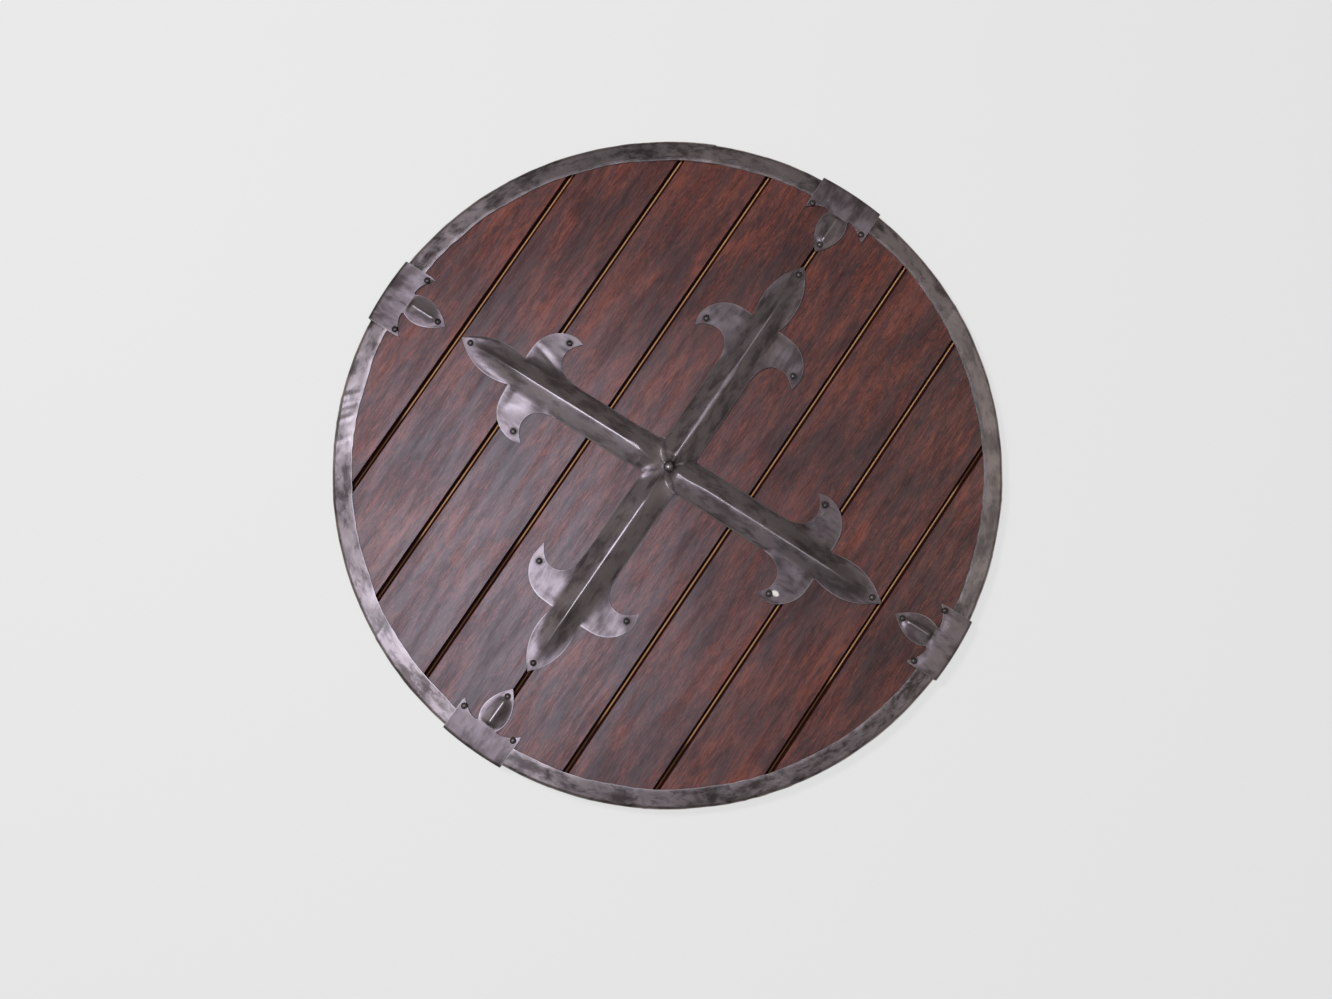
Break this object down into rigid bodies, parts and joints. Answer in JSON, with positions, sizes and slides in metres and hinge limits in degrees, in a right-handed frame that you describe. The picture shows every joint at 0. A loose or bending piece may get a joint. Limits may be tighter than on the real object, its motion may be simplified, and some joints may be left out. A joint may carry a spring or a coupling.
{
  "type": "wooden round shield",
  "caption": "Flat round shield of tongue-and-groove boards with a folded sheet-steel rim, an embossed steel fleur-de-lis cross and steel rim clips.",
  "frame": {"origin": "centre of the round shield in plan, on the level of the rim clips' back legs, on which it lies", "axes": "+Z out of the shield's face, +Y along the boards towards the top clip, +X to the right seen from the face"},
  "size_m": [0.6, 0.6, 0.024],
  "materials": {
    "stained_boards": "dark red-brown stained boards, satin",
    "sheet_steel": "hammered and burnished dark sheet steel",
    "dark_nails": "blackened domed nail heads"
  },
  "bodies": {
    "root": {"clip_bottom": "sheet_steel", "clip_left": "sheet_steel", "clip_right": "sheet_steel", "clip_top": "sheet_steel", "cross_plate": "sheet_steel", "plank_1": "stained_boards", "plank_2": "stained_boards", "plank_3": "stained_boards", "plank_4": "stained_boards", "plank_5": "stained_boards", "plank_6": "stained_boards", "plank_7": "stained_boards", "plank_8": "stained_boards", "rim_band": "sheet_steel", "nail_clip_bottom_horn_1": "dark_nails", "nail_clip_bottom_horn_2": "dark_nails", "nail_clip_bottom_petal": "dark_nails", "nail_clip_left_horn_1": "dark_nails", "nail_clip_left_horn_2": "dark_nails", "nail_clip_left_petal": "dark_nails", "nail_clip_right_horn_1": "dark_nails", "nail_clip_right_horn_2": "dark_nails", "nail_clip_right_petal": "dark_nails", "nail_clip_top_horn_1": "dark_nails", "nail_clip_top_horn_2": "dark_nails", "nail_clip_top_petal": "dark_nails", "nail_cross_bottom_lobe_1": "dark_nails", "nail_cross_bottom_lobe_2": "dark_nails", "nail_cross_bottom_tip": "dark_nails", "nail_cross_centre": "dark_nails", "nail_cross_left_lobe_1": "dark_nails", "nail_cross_left_lobe_2": "dark_nails", "nail_cross_left_tip": "dark_nails", "nail_cross_right_lobe_1": "dark_nails", "nail_cross_right_lobe_2": "dark_nails", "nail_cross_right_tip": "dark_nails", "nail_cross_top_lobe_1": "dark_nails", "nail_cross_top_lobe_2": "dark_nails", "nail_cross_top_tip": "dark_nails"}
  },
  "joints": []
}
